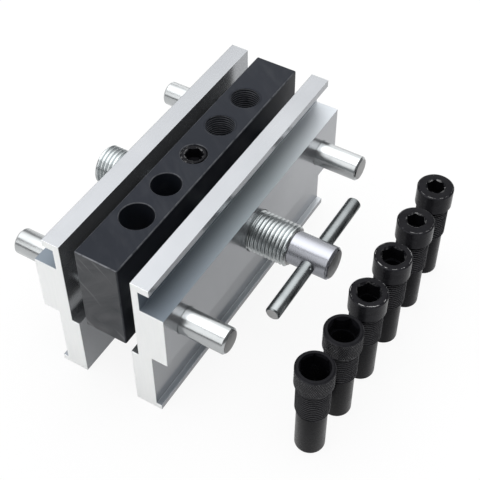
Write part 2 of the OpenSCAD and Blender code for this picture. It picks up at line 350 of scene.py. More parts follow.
# %% Retaining screw
low, high = box_mm("retaining_screw")
GRUB_TOP, POINT_Z, GRUB_R, GRUB_PITCH = high[2], low[2], 6.35, 1.27
GRUB_KEY, GRUB_SOCKET, GRUB_LEAD, GRUB_CONE = 7.94, 6.0, 4.8, 1.2
POINT_R, GRUB_BOTTOM, GRUB_TURN, GRUB_RUN_OUT = 3.0, 27.75, np.radians(32), 0.35
GRUB_CORE = GRUB_R - DEPTH_SHARE * GRUB_PITCH

grub_rows = stack(
    plain_rows(soft_corner([[POINT_Z, 0], [POINT_Z, POINT_R], [GRUB_BOTTOM, POINT_R],
                            [GRUB_BOTTOM, GRUB_CORE]]), ROUND),
    thread_rows(2 * GRUB_R, GRUB_PITCH, GRUB_BOTTOM, GRUB_TOP, ROUND, run_out=GRUB_RUN_OUT),
    socket_rows(GRUB_KEY, GRUB_TOP, GRUB_SOCKET, GRUB_LEAD, ROUND, turn=GRUB_TURN),
    plain_rows([[GRUB_TOP - GRUB_SOCKET - GRUB_CONE, 0]], ROUND))
retaining_screw = grid_piece("retaining_screw_black", grub_rows[1] * np.cos(ROUND),
                             grub_rows[1] * np.sin(ROUND), grub_rows[0])

# %% [markdown]
# ## Drill bushings
#
# A bushing guides the drill. Its head has a hexagon socket for a key, and below the head it is
# threaded to fit the block. It could be a stack of cylinders with a Boolean bore. Going once
# round its section closes one grid instead: up the outside, over the head, down the socket and
# the bore, and out along the lower end. The two largest heads have a diamond knurl, rolled in
# by two toothed wheels: here two families of grooves that wind in opposite directions.

# %% Sizes of the bushings
BORES = {"bushing_3_16": (4.76, 8), "bushing_1_4": (6.35, 8), "bushing_5_16": (7.94, 10),
         "bushing_3_8": (9.53, 10), "bushing_7_16": (11.11, 12), "bushing_1_2": (12.7, 12)}
LEADS, SLOPES = {8: 4.9, 10: 6.0, 12: 7.05}, {8: 0.6, 10: 1.0, 12: 1.7}
KNURLED = ("bushing_7_16", "bushing_1_2")
TURNED = {"bushing_7_16": np.radians(32)}
HEAD_R, HEAD_EDGE, REACH, HEAD_H, SOCKET = 8.9, 0.7, 46.0, 11.4, 8.0
SEAT_D, SEAT_PITCH, THREAD_L, SHANK_R = 15.8, 1.41, 19.0, 7.067
SHANK_EDGE, BORE_EDGE = 0.4, 0.3
HEAD_TOP = REACH + HEAD_H
UNDER_HEAD = [(0, -0.1), (0.08, 0.06)]
HEAD_RIM = [(0.22, 0.48), (0.05, 0.75), (0, 0.95)]
PLAIN_COLUMNS, KNURL_COLUMNS = 96, 216
print("bushings are", HEAD_TOP, "mm tall")


# %% Knurl
def knurl_rows(theta, low, high, radius, round_count=54, up_count=10, depth=0.32):
    """Rows of a knurled band. Each family of grooves is a triangle wave of (angle share plus or
    minus half the height share). The surface lies at the deeper of the two, steepened and cut
    flat at the crests, and fades out at both ends."""
    steepness, fade_share = 1.6, 0.5
    steps = up_count * 4
    height = np.linspace(low, high, steps + 1)[:, None]
    share = (height - low) / (high - low) * up_count
    turn = theta / TURN * round_count
    one = np.abs(np.mod(turn + share / 2, 1) * 2 - 1)
    two = np.abs(np.mod(turn - share / 2, 1) * 2 - 1)
    relief = np.clip(np.minimum(one, two) * steepness, 0, 1)
    fade = np.clip(np.minimum(share, up_count - share) / fade_share, 0, 1)
    return (np.broadcast_to(height, relief.shape),
            radius - depth * (1 - relief) * fade)


# %% Bushings
def bushing(name, bore, key):
    """One bushing: the section's rows in order, put round the axis of its CAD node."""
    low, high = box_mm(name)
    middle = (low + high) / 2
    knurled = name in KNURLED
    theta = angles(KNURL_COLUMNS if knurled else PLAIN_COLUMNS)
    bore_r, thread_start = bore / 2, REACH - THREAD_L
    tail = plain_rows(soft_corner([[0, bore_r + BORE_EDGE], [0, SHANK_R - SHANK_EDGE],
                                   [SHANK_EDGE, SHANK_R], [thread_start, SHANK_R]], 0.1), theta)
    thread = thread_rows(SEAT_D, SEAT_PITCH, thread_start, REACH, theta)
    thread = (thread[0], np.maximum(thread[1], SHANK_R))
    bottom, top = REACH + HEAD_EDGE, HEAD_TOP - HEAD_EDGE
    under = plain_rows([[REACH, SHANK_R]] + [[REACH + up, HEAD_R - HEAD_EDGE + out]
                                             for up, out in UNDER_HEAD], theta)
    if knurled:
        wall = knurl_rows(theta, bottom, top, HEAD_R)
    else:
        wall = plain_rows([[bottom, HEAD_R], [top, HEAD_R]], theta)
    rim = plain_rows([[HEAD_TOP - drop, HEAD_R - inset] for drop, inset in HEAD_RIM], theta)
    socket = socket_rows(key, HEAD_TOP, SOCKET, LEADS[key], theta, TURNED.get(name, 0.0), bore_r,
                         slope=SLOPES[key])
    inside = plain_rows([[HEAD_TOP - SOCKET, bore_r], [BORE_EDGE, bore_r],
                         [0, bore_r + BORE_EDGE]], theta)
    height, radius = stack(tail, thread, under, wall, rim, socket, inside)
    return grid_piece(name + "_black", middle[0] + radius * np.cos(theta),
                      middle[1] + radius * np.sin(theta), low[2] + height)


bushings = {name: bushing(name, *sizes) for name, sizes in BORES.items()}

# %% [markdown]
# ## Guide block
#
# The block is a bar of cold drawn steel, milled to length, with its edges broken by a chamfer,
# then drilled, tapped and blackened. It is made in the same order here. The chamfered bar is a
# grid whose rows climb from the bottom to the top, and every hole is cut by a turned plug. The
# tapped holes are cut by a plug with a climbing thread, which a plain cylinder with bump could
# only pretend, so the thread in the block is a real helix.

# %% Sizes of the block
block_low, block_high = box_mm("guide_block")
BLOCK_W, BLOCK_L, BLOCK_H = block_high - block_low
BLOCK_EDGE, EDGE_ROUND, MOUTH = 0.5, 0.12, 0.4
low, high = box_mm("front_rod")
ROD_SPAN = -(low + high)[1]
ROD_TO_HOLE = 16
HOLE_PITCH = (ROD_SPAN / 2 - ROD_TO_HOLE) / 2
print("block", np.round([BLOCK_W, BLOCK_L, BLOCK_H], 2), "holes every", round(HOLE_PITCH, 2))


# %% Chamfered bar
def chamfered_bar(name, width, length, height, edge):
    """A bar with cut edges. Its rows are the outline's eight corners at each level, and a level's
    outline is pulled in by the chamfer at the bottom and the top."""
    w, l, e = width / 2, length / 2, edge
    full = np.array([[w, l - e], [w - e, l], [e - w, l], [-w, l - e],
                     [-w, e - l], [e - w, -l], [w - e, -l], [w, e - l], [w, l - e]])
    small = np.clip(full, [e - w, e - l], [w - e, l - e])
    levels = [(0, small * 0), (0, small), (e, full), (height - e, full),
              (height, small), (height, small * 0)]
    plan = np.stack([outline for z, outline in levels])
    z = np.array([z for z, outline in levels], float)[:, None]
    return grid_piece(name, plan[..., 0], plan[..., 1], z)


def bake_modifiers(piece):
    """Replaces the mesh by what its modifiers make of it, so that none is left on the piece."""
    shaped = bpy.data.meshes.new_from_object(
        piece.evaluated_get(bpy.context.evaluated_depsgraph_get()))
    piece.modifiers.clear()
    piece.data = shaped


def bevel_edges(piece, width, angle=30, segments=2):
    """Rounds every sharp edge of a finished solid by that width in millimetres."""
    bevel = piece.modifiers.new("rounded_edges", "BEVEL")
    bevel.width = width * MM
    bevel.segments = segments
    bevel.limit_method = "ANGLE"
    bevel.angle_limit = np.radians(angle)
    bake_modifiers(piece)


# %% Cutting plugs
def cut(piece, plugs, sharp=8):
    """Takes every plug out of the piece with an exact Boolean, then removes the plugs."""
    for plug in plugs:
        tool = piece.modifiers.new("cut_" + plug.name, "BOOLEAN")
        tool.operation = "DIFFERENCE"
        tool.solver = "EXACT"
        tool.object = plug
    bake_modifiers(piece)
    for plug in plugs:
        bpy.data.objects.remove(plug)
    smooth_curves(piece, sharp)
    print(piece.name, "after cutting:", len(piece.data.polygons), "faces")


def plug_piece(name, centre, axis, along, radius):
    """Puts rows round the X axis or the Z axis, starting at the centre's place."""
    one, two = radius * np.cos(ROUND), radius * np.sin(ROUND)
    x, y, z = centre
    if axis == "X":
        return grid_piece(name, x + along, y + one, z + two)
    return grid_piece(name, x + one, y + two, z + along)


def bore_plug(name, centre, axis, length, diameter, mouth=MOUTH):
    """A plug for a bore through the whole length, flared at both ends for the chamfered mouths.
    It sticks out by one millimetre, so that no two faces lie on each other."""
    r = diameter / 2
    profile = [[-1, 0], [-1, r + mouth + 1], [mouth, r], [length - mouth, r],
               [length + 1, r + mouth + 1], [length + 1, 0]]
    along, radius = plain_rows(profile, ROUND)
    return plug_piece(name, centre, axis, along, radius)


# %% Drill and tap the block
FRONT_HOLE, SECOND_HOLE, GRUB_HOLE = 15.9, 14.3, 12.8
SCREW_BORE, PRESSED_ROD_BORE = 20.7, 12.68
SEAT_OUT, SEAT_L, SEAT_MOUTH = 15.9, 21.0, 0.08
SEAT_FLARE, SEAT_LIP, LIP_STEP, SEAT_RUN_OUT = 1.4, 0.2, 0.4, 0.1
SEAT_CORE = SEAT_OUT / 2 - DEPTH_SHARE * SEAT_PITCH

lip_z, seat_mouth_r = BLOCK_H - SEAT_LIP, SEAT_OUT / 2 + SEAT_MOUTH
seat_rows = stack(
    plain_rows([[-1, 0], [-1, SEAT_CORE + SEAT_FLARE], [MOUTH, SEAT_CORE]], ROUND),
    thread_rows(SEAT_OUT, SEAT_PITCH, BLOCK_H - SEAT_L, lip_z, ROUND, run_out=SEAT_RUN_OUT),
    plain_rows([[lip_z, SEAT_CORE + LIP_STEP], [BLOCK_H, seat_mouth_r],
                [BLOCK_H + 1, seat_mouth_r], [BLOCK_H + 1, 0]], ROUND))
guide_block = chamfered_bar("guide_block_black", BLOCK_W, BLOCK_L, BLOCK_H, BLOCK_EDGE)
bevel_edges(guide_block, EDGE_ROUND, angle=20)

plugs = [bore_plug("front_hole", (0, -2 * HOLE_PITCH, 0), "Z", BLOCK_H, FRONT_HOLE),
         bore_plug("second_hole", (0, -HOLE_PITCH, 0), "Z", BLOCK_H, SECOND_HOLE),
         bore_plug("screw_bore", (-BLOCK_W / 2, 0, AXIS_Z), "X", BLOCK_W, SCREW_BORE)]
plugs += [bore_plug(name, (-BLOCK_W / 2, y, AXIS_Z), "X", BLOCK_W, PRESSED_ROD_BORE)
          for name, y in (("front_rod_bore", -ROD_SPAN / 2), ("rear_rod_bore", ROD_SPAN / 2))]
plugs += [bore_plug("retaining_hole", (0, 0, AXIS_Z), "Z", BLOCK_H - AXIS_Z, GRUB_HOLE),
          plug_piece("first_seat", (0, HOLE_PITCH, 0), "Z", *seat_rows),
          plug_piece("second_seat", (0, 2 * HOLE_PITCH, 0), "Z", *seat_rows)]
cut(guide_block, plugs)

# %% [markdown]
# ## Jaws
#
# Both jaws are lengths of one aluminium extrusion, with the saw cuts at the ends broken by a
# fine edge. Blocks could be joined, but an extrusion is one profile carried along Y, and so it
# is made here. The left jaw is the same section mirrored in the X axis, and the three bores are
# cut as in the block.

# %% Section of the extrusion
INNER_X, LIP_X, NECK_X, BODY_X = 18.5, 27.8, 22.1, 34.1
PLATE_X, FOOT_X, CLAMP_X = 25.7, 28.6, 14.5
TOP_Z, LIP_Z, LEDGE_Z, BODY_Z = 49, 45, 32.9, 1.1
STEP_Z, FOOT_Z, BOTTOM_Z = -1, -34.1, -37.3
JAW_DEPTH, JAW_ROD_BORE, JAW_ROUND = 15.6, 12.8, 0.2
print("jaw section:", np.round([BODY_X - CLAMP_X, TOP_Z - BOTTOM_Z], 1), "mm wide and tall")


def jaw_section(sign):
    """The extrusion's outline in X and Z, from the top inner corner round the outside; sign
    mirrors it."""
    outline = np.array([[INNER_X, TOP_Z], [LIP_X, TOP_Z], [LIP_X, LIP_Z], [NECK_X, LIP_Z],
                        [NECK_X, LEDGE_Z], [BODY_X, LEDGE_Z], [BODY_X, BODY_Z],
                        [PLATE_X, BODY_Z], [PLATE_X, FOOT_Z], [FOOT_X, FOOT_Z],
                        [FOOT_X, BOTTOM_Z], [CLAMP_X, BOTTOM_Z], [CLAMP_X, STEP_Z],
                        [INNER_X, STEP_Z]])
    return outline * [sign, 1]


# %% Jaws
def jaw(name, node, sign):
    """The section repeated at both ends along Y, with side faces between and a cap at each end."""
    low, high = box_mm(node)
    section = jaw_section(sign)
    count = len(section)
    points = np.empty((2, count, 3))
    points[..., 0], points[..., 2] = section[:, 0], section[:, 1]
    points[..., 1] = np.array([low[1], high[1]])[:, None]
    ring = np.arange(count)
    sides = np.stack([ring, np.roll(ring, -1), np.roll(ring, -1) + count, ring + count], axis=1)
    mesh = bpy.data.meshes.new(name)
    mesh.from_pydata((points.reshape(-1, 3) * MM).tolist(), [],
                     sides.tolist() + [ring[::-1].tolist(), (ring + count).tolist()])
    clean_mesh(mesh)
    piece = put_in_scene(name, mesh)
    bevel_edges(piece, JAW_ROUND)
    start = min(INNER_X * sign, BODY_X * sign)
    bores = (("_screw_bore", 0, SCREW_BORE), ("_front_bore", -ROD_SPAN / 2, JAW_ROD_BORE),
             ("_rear_bore", ROD_SPAN / 2, JAW_ROD_BORE))
    cut(piece, [bore_plug(name + bore, (start, y, AXIS_Z), "X", JAW_DEPTH, diameter)
                for bore, y, diameter in bores])
    return piece


left_jaw = jaw("left_jaw_extrusion", "left_jaw", -1)
right_jaw = jaw("right_jaw_extrusion", "right_jaw", 1)

# %% [markdown]
# ## Materials
#
# Every finish could be a photographed texture. Here each is a small tree of noise, colour ramps
# and bump that reads Object coordinates, so a pattern has its real size in metres, stays on its
# piece and needs no picture. Numbers that are the same all over a surface are set on the shader
# itself. The helpers below each add one step to such a tree.


# %% Shader and coordinates
def new_material(name, metallic, roughness, specular=0.5):
    """A node material with one Principled shader; returns it with its tree and its shader."""
    material = bpy.data.materials.new(name)
    material.use_nodes = True
    tree = material.node_tree
    shader = tree.nodes["Principled BSDF"]
    shader.inputs["Metallic"].default_value = metallic
    shader.inputs["Roughness"].default_value = roughness
    shader.inputs["Specular IOR Level"].default_value = specular
    return material, tree, shader


def place(tree, stretch=(1, 1, 1), turn=(0, 0, 0)):
    """Object coordinates, turned back by three angles and then multiplied by stretch."""
    source = tree.nodes.new("ShaderNodeTexCoord")
    mapping = tree.nodes.new("ShaderNodeMapping")
    mapping.vector_type = "TEXTURE"
    mapping.inputs["Rotation"].default_value = turn
    mapping.inputs["Scale"].default_value = [1 / share for share in stretch]
    tree.links.new(source.outputs["Object"], mapping.inputs["Vector"])
    return mapping.outputs["Vector"]


def share_of(tree, name):
    """One of the two numbers, edge or cut, that mark_faces stores on every face."""
    node = tree.nodes.new("ShaderNodeAttribute")
    node.attribute_name = name
    return node.outputs["Fac"]


# %% Noise, ramps and sums
def noise(tree, where, scale, detail=3, rough=0.5, twist=0.0):
    """Grey noise with about scale lumps to the metre."""
    node = tree.nodes.new("ShaderNodeTexNoise")
    node.inputs["Scale"].default_value = scale
    node.inputs["Detail"].default_value = detail
    node.inputs["Roughness"].default_value = rough
    node.inputs["Distortion"].default_value = twist
    tree.links.new(where, node.inputs["Vector"])
    return node.outputs["Fac"]


def ramp(tree, value, *stops):
    """Turns a value between zero and one into the colours or greys of its stops."""
    node = tree.nodes.new("ShaderNodeValToRGB")
    elements = node.color_ramp.elements
    while len(elements) < len(stops):
        elements.new(0.5)
    for element, (position, colour) in zip(elements, stops):
        element.position = position
        element.color = (*colour, 1) if np.ndim(colour) else (colour, colour, colour, 1)
    tree.links.new(value, node.inputs["Fac"])
    return node.outputs["Color"]


def feed(tree, value, target):
    """Gives a socket its value: a link from another socket, or a number or a colour."""
    if isinstance(value, bpy.types.NodeSocket):
        tree.links.new(value, target)
    else:
        target.default_value = (*value, 1) if np.ndim(value) else value


def blend_colours(tree, share, first, second, kind="MIX"):
    """First x (1 - share) + second x share, or first x second for the kind MULTIPLY."""
    node = tree.nodes.new("ShaderNodeMix")
    node.data_type = "RGBA"
    node.blend_type = kind
    for name, value in (("Factor", share), ("A", first), ("B", second)):
        feed(tree, value, next(s for s in node.inputs if s.name == name and s.enabled))
    return next(s for s in node.outputs if s.enabled)


def sums(tree, operation, first, second):
    """One Math node on two values, each a socket or a number."""
    node = tree.nodes.new("ShaderNodeMath")
    node.operation = operation
    for socket, value in zip(node.inputs, (first, second)):
        feed(tree, value, socket)
    return node.outputs["Value"]


# %% Bump, and worn edges that also serve as painted glints
def bump(tree, shader, height, distance):
    """Raises the surface by height times distance, given in millimetres."""
    node = tree.nodes.new("ShaderNodeBump")
    node.inputs["Distance"].default_value = distance * MM
    node.inputs["Strength"].default_value = 1.0
    tree.links.new(height, node.inputs["Height"])
    tree.links.new(node.outputs["Normal"], shader.inputs["Normal"])


def wear_and_glint_patches(tree, low, high, scale=260):
    """The edge share times a patchy noise, which is nothing below low and full above high."""
    patches = noise(tree, place(tree), scale, detail=4, rough=0.6)
    allowed = ramp(tree, patches, (low, 0.0), (high, 1.0))
    return sums(tree, "MULTIPLY", share_of(tree, "edge"), allowed)


# %% [markdown]
# ## Black oxide on the block
#
# The block is blackened in a hot salt bath and oiled. The skin is a thin oxide with a little of
# the steel's shine, darker and lighter in soft clouds, with smears of oil along the sides. The
# milled ends are greyer and show the cutter's strokes, and the chamfers are worn to bare steel.
# The crests in the threaded holes get the same bare steel, which there is also a painted glint.
# One flat black would look like paint. Here each of these is a blend on top of the last, so
# that each can be tuned alone.

# %% Black oxide on the block
DEEP_BLUE_BLACK, BLUE_BLACK = (0.009, 0.011, 0.0155), (0.013, 0.015, 0.0205)
OIL_SMEAR, OIL_SHARE = (0.05, 0.052, 0.057), 0.2
MILLED_DARK, MILLED_LIGHT = (0.038, 0.041, 0.046), (0.072, 0.074, 0.078)
CUTTER_STROKE, STROKE_SHARE = (0.17, 0.172, 0.176), 0.45
BARE_STEEL_AND_GLINT = (0.15, 0.155, 0.165)

block_black, tree, shader = new_material("black_oxide_block", 0.25, 0.4, 0.1)
cloud = noise(tree, place(tree), 38, detail=5, rough=0.6)
tone = ramp(tree, cloud, (0.3, DEEP_BLUE_BLACK), (0.7, BLUE_BLACK))
oil = noise(tree, place(tree, (1, 0.25, 1), turn=(0, 0, 0.9)), 120, detail=4, rough=0.6, twist=0.4)
oil_share = sums(tree, "MULTIPLY", ramp(tree, oil, (0.50, 0.0), (0.72, 1.0)), OIL_SHARE)
tone = blend_colours(tree, oil_share, tone, OIL_SMEAR)

milled = noise(tree, place(tree, (0.3, 1, 1), turn=(0, -0.75, 0)), 90, detail=4, rough=0.6,
               twist=1.2)
milled_tone = ramp(tree, milled, (0.35, MILLED_DARK), (0.7, MILLED_LIGHT))
strokes = noise(tree, place(tree, (0.12, 1, 1), turn=(0, 0.75, 0)), 300, detail=2, twist=0.4)
stroke_share = ramp(tree, strokes, (0.60, 0.0), (0.72, STROKE_SHARE))
milled_tone = blend_colours(tree, stroke_share, milled_tone, CUTTER_STROKE)

tone = blend_colours(tree, share_of(tree, "cut"), tone, milled_tone)
# Bare steel is wear on the chamfers, and on the crests of the threaded holes also a painted glint.
tone = blend_colours(tree, wear_and_glint_patches(tree, 0.25, 0.55), tone, BARE_STEEL_AND_GLINT)
tree.links.new(tone, shader.inputs["Base Color"])
tree.links.new(ramp(tree, cloud, (0.3, 0.34), (0.7, 0.46)), shader.inputs["Roughness"])
bump(tree, shader, noise(tree, place(tree, (1, 6, 6)), 900, detail=2), 0.006)
print(block_black.name, len(tree.nodes), "nodes")

# %% [markdown]
# ## Black oxide on the bushings and the retaining screw
#
# The hardened bushings come out of the same bath nearly pure black, a little paler on their
# turned heads, and bright where the rim has been handled. The darker black of the shank and
# the socket is painted shade, and the bright rims, knurls and mouths are painted glints as well
# as wear. The crests of the thread are too fine to shine by themselves at this size, so they
# get a lighter tone of their own, a painted highlight, which is what makes the rings readable.

# %% Black oxide on the bushings and the retaining screw
# The base black is darker on the shank and in the socket, as painted shade.
SHADED_BLACK_DARK, SHADED_BLACK_LIGHT = (0.004, 0.004, 0.005), (0.0075, 0.0075, 0.009)
HEAD_DARK, HEAD_LIGHT = (0.013, 0.013, 0.015), (0.020, 0.020, 0.023)
# The crest grey is a painted highlight; the rubbed bright is wear and painted glints.
CREST_HIGHLIGHT_GREY, RUBBED_BRIGHT_AND_GLINT = (0.10, 0.10, 0.105), (0.46, 0.46, 0.46)

bushing_black, tree, shader = new_material("black_oxide_bushing", 0.3, 0.3, 0.05)
cloud = noise(tree, place(tree), 150, detail=4, rough=0.6)
tone = ramp(tree, cloud, (0.3, SHADED_BLACK_DARK), (0.7, SHADED_BLACK_LIGHT))
head_tone = ramp(tree, cloud, (0.3, HEAD_DARK), (0.7, HEAD_LIGHT))
head_share = ramp(tree, share_of(tree, "cut"), (0.5, 0.0), (1.0, 1.0))
crest_highlight_share = ramp(tree, share_of(tree, "cut"), (0.0, 0.0), (0.5, 1.0), (1.0, 0.0))
tone = blend_colours(tree, head_share, tone, head_tone)
tone = blend_colours(tree, crest_highlight_share, tone, CREST_HIGHLIGHT_GREY)
tone = blend_colours(tree, wear_and_glint_patches(tree, 0.48, 0.58, 520), tone, RUBBED_BRIGHT_AND_GLINT)
tree.links.new(tone, shader.inputs["Base Color"])
tree.links.new(ramp(tree, cloud, (0.3, 0.2), (0.7, 0.34)), shader.inputs["Roughness"])
bump(tree, shader, noise(tree, place(tree, (1, 1, 12)), 500, detail=2), 0.005)
print(bushing_black.name, len(tree.nodes), "nodes")

# %% [markdown]
# ## Satin aluminium of the jaws
#
# The extrusion is clear anodised and keeps the fine lines of its die along Y. They are too fine
# to be modelled, and noise stretched along Y looks the same at this size. The ends are sawn
# after that, so they are pale and matt. The groove under the lip and the top of the foot are
# duller. Their dark bluish tone, which grows paler towards the far end, is painted shade
# and painted reflection.

# %% Satin aluminium
SATIN_DARK, SATIN_LIGHT = (0.300, 0.311, 0.326), (0.335, 0.346, 0.361)
SAWN_DARK, SAWN_LIGHT = (0.83, 0.845, 0.84), (0.86, 0.87, 0.865)
# The dull tones are painted shade and painted reflection: dark near the front, paler at the far
# end.
PAINTED_SHADE_NEAR, PAINTED_SHADE_MIDDLE, PAINTED_SHADE_FAR = (0.155, 0.183, 0.213), (0.26, 0.29, 0.305), (0.46, 0.485, 0.51)
SAWN_ROUGH, DULL_ROUGH, SAWN_METAL, DULL_METAL = 0.5, 0.55, 0.15, 0.85


def satin_aluminium(name):
    """Satin tone with die lines, blended by the edge share to the dull skin, whose tone is painted
    shade, and by the cut share to the sawn tone. The painted shade follows 5 x Y + 0.5, with Y in
    metres."""
    material, tree, shader = new_material(name, 0.8, 0.2)
    lines = noise(tree, place(tree, (1, 0.004, 1)), 2600, rough=0.6)
    cloud = noise(tree, place(tree), 30, detail=4)
    sawn, dull = share_of(tree, "cut"), share_of(tree, "edge")
    tone = ramp(tree, cloud, (0.3, SATIN_DARK), (0.7, SATIN_LIGHT))
    streak = ramp(tree, lines, (0.3, 0.965), (0.7, 1.0))
    tone = blend_colours(tree, 1.0, tone, streak, "MULTIPLY")
    # Painted shade of the groove and the foot, paler towards the far end.
    where = tree.nodes.new("ShaderNodeSeparateXYZ")
    tree.links.new(place(tree, (1, 5, 1)), where.inputs[0])
    painted_shade_tone = ramp(tree, sums(tree, "ADD", where.outputs["Y"], 0.5), (0.15, PAINTED_SHADE_NEAR),
                     (0.6, PAINTED_SHADE_MIDDLE), (0.86, PAINTED_SHADE_FAR))
    tone = blend_colours(tree, dull, tone, painted_shade_tone)
    grain = noise(tree, place(tree, (1, 1, 0.1)), 900)
    tone = blend_colours(tree, sawn, tone, ramp(tree, grain, (0.3, SAWN_DARK), (0.7, SAWN_LIGHT)))
    tree.links.new(tone, shader.inputs["Base Color"])
    gloss = ramp(tree, lines, (0.3, 0.19), (0.7, 0.23))
    gloss = blend_colours(tree, sawn, gloss, [SAWN_ROUGH] * 3)
    gloss = blend_colours(tree, dull, gloss, [DULL_ROUGH] * 3)
    tree.links.new(gloss, shader.inputs["Roughness"])
    bare = sums(tree, "MULTIPLY", ramp(tree, sawn, (0.0, 0.8), (1.0, SAWN_METAL)),
                ramp(tree, dull, (0.0, 1.0), (1.0, DULL_METAL)))
    tree.links.new(bare, shader.inputs["Metallic"])
    bump(tree, shader, lines, 0.001)
    print(name, len(tree.nodes), "nodes")
    return material


aluminium = satin_aluminium("satin_aluminium")

# %% [markdown]
# ## Bright zinc on rods, lead screw and tommy bar
#
# Turned steel with bright zinc plate is shiny and slightly blue, with very fine turning rings.
# Modelled rings would need millions of faces. So they are noise that changes quickly along the
# bar and hardly at all round it, only strong enough to break up the mirrored lamps. The tommy
# bar looks older: darker, with deeper rings and duller patches.


# %% Bright zinc
def bright_zinc(name, low, high, stretch, ends, polished=(0.33, 0.34, 0.35), ridge=0.0008,
                dull=(0.21, 0.24)):
    """Zinc tone between low and high, blended by the edge share to the polished tone and by the
    cut share to the grey of the ends. Rings are ridge millimetres high, and the roughness
    wanders between the two dull numbers."""
    material, tree, shader = new_material(name, 1.0, 0.2)
    rings = noise(tree, place(tree, stretch), 900, rough=0.6)
    cloud = noise(tree, place(tree), 90)
    tone = ramp(tree, cloud, (0.3, low), (0.7, high))
    tone = blend_colours(tree, share_of(tree, "edge"), tone, polished)
    end_share = share_of(tree, "cut")
    end_tone = ramp(tree, cloud, (0.3, 0.8 * ends), (0.7, ends))
    tree.links.new(blend_colours(tree, end_share, tone, end_tone), shader.inputs["Base Color"])
    gloss = ramp(tree, rings, (0.3, dull[0]), (0.7, dull[1]))
    tree.links.new(blend_colours(tree, end_share, gloss, (0.4, 0.4, 0.4)),
                   shader.inputs["Roughness"])
    bump(tree, shader, rings, ridge)
    print(name, len(tree.nodes), "nodes")
    return material


ALONG_X, ALONG_Y = (1, 0.05, 0.05), (0.05, 1, 0.05)
rod_zinc = bright_zinc("bright_zinc_rod", (0.39, 0.405, 0.41), (0.45, 0.465, 0.47), ALONG_X,
                       ends=0.3)
screw_zinc = bright_zinc("bright_zinc_screw", (0.42, 0.445, 0.45), (0.50, 0.525, 0.53), ALONG_X,
                         ends=0.42, polished=(0.27, 0.277, 0.302), dull=(0.25, 0.28))
bar_zinc = bright_zinc("bright_zinc_bar", (0.17, 0.185, 0.19), (0.24, 0.255, 0.26), ALONG_Y,
                       ends=0.36, ridge=0.003, dull=(0.24, 0.34))

# %% [markdown]
# ## Which faces are worn or cut
#
# Plating and blackening wear first on edges, and a sawn or milled end looks unlike the skin
# beside it. Such marks could be painted by hand. Here every face gets two numbers, worked out
# for all faces at once from its centre and its normal, which the materials read:
#
# - edge is the wear of the block's chamfers, and both wear and painted glints on the crests in its
#   threaded holes, on the rims, knurls and socket mouths of the bushings and on two arcs of the
#   retaining screw. It is also the polish of the spindle and the dull skin of the jaws' groove and
#   foot, whose tone is painted shade.
# - cut marks the block's milled ends and the sawn ends of jaws and bars. On a bushing it is 1 on
#   the head, 0.75 on the knurl and 0.5 on the crests of the thread, where it paints a highlight.


# %% Marking helpers
def mark_faces(piece, edge_share, cut_share):
    """Stores two numbers per face and prints how many faces have each."""
    for name, share in (("edge", edge_share), ("cut", cut_share)):
        layer = piece.data.attributes.new(name, "FLOAT", "FACE")
        layer.data.foreach_set("value", np.asarray(share, np.float32))
    print(piece.name, "edge:", np.count_nonzero(edge_share), "cut:", np.count_nonzero(cut_share))


def face_arrays(piece):
    """Centres in millimetres and normals of all faces."""
    mesh = piece.data
    centres, normals = np.empty(len(mesh.polygons) * 3), np.empty(len(mesh.polygons) * 3)
    mesh.polygons.foreach_get("center", centres)
    mesh.polygons.foreach_get("normal", normals)
    return centres.reshape(-1, 3) / MM, normals.reshape(-1, 3)


# %% Worn chamfers, crests with painted glints and milled ends of the block
FRONT_TOP_WEAR, FRONT_WEAR, OTHER_WEAR, CREST_WEAR_AND_GLINT = 1.0, 0.2, 0.5, 0.8
EDGE_BAND, MOUTH_BAND, CREST_BAND, SEAT_BAND, END_SKIN = 1, 0.45, 0.12, 0.6, 0.05

centres, normals = face_arrays(guide_block)
x, y, z = centres.T
lean = 2 * np.abs(normals * np.roll(normals, 1, axis=1)).max(axis=1)
outer = (np.abs(x) > BLOCK_W / 2 - EDGE_BAND) | (np.abs(y) > BLOCK_L / 2 - EDGE_BAND)
mouth = z > BLOCK_H - MOUTH_BAND
from_seat = np.minimum(np.hypot(x, y - HOLE_PITCH), np.hypot(x, y - 2 * HOLE_PITCH))
# The crests of the threaded holes are worn bright as a painted glint.
crest = (from_seat < SEAT_CORE + CREST_BAND) & (z > BLOCK_H - SEAT_L) & ~mouth
at_seat = mouth & (from_seat < SEAT_OUT / 2 + SEAT_BAND)
front = y < EDGE_BAND - BLOCK_L / 2
wear = np.where(front & mouth, FRONT_TOP_WEAR, np.where(front, FRONT_WEAR, OTHER_WEAR))
wear = np.where((outer | mouth) & ~at_seat, np.clip(lean, 0, 1), 0) * wear
mark_faces(guide_block, np.where(crest, CREST_WEAR_AND_GLINT, wear), np.abs(y) > BLOCK_L / 2 - END_SKIN)

# %% Dull skin with painted shade and sawn ends of the jaws, sawn ends of the bars
SAWN_FROM, FOOT_SHARE, SLACK, LEDGE_SLACK = 77.2, 0.5, 0.1, 0.15
ROD_CUT_FROM, SCREW_CUT_FROM, BAR_CUT_BAND, FACING = 56, 53.4, 0.5, 0.9

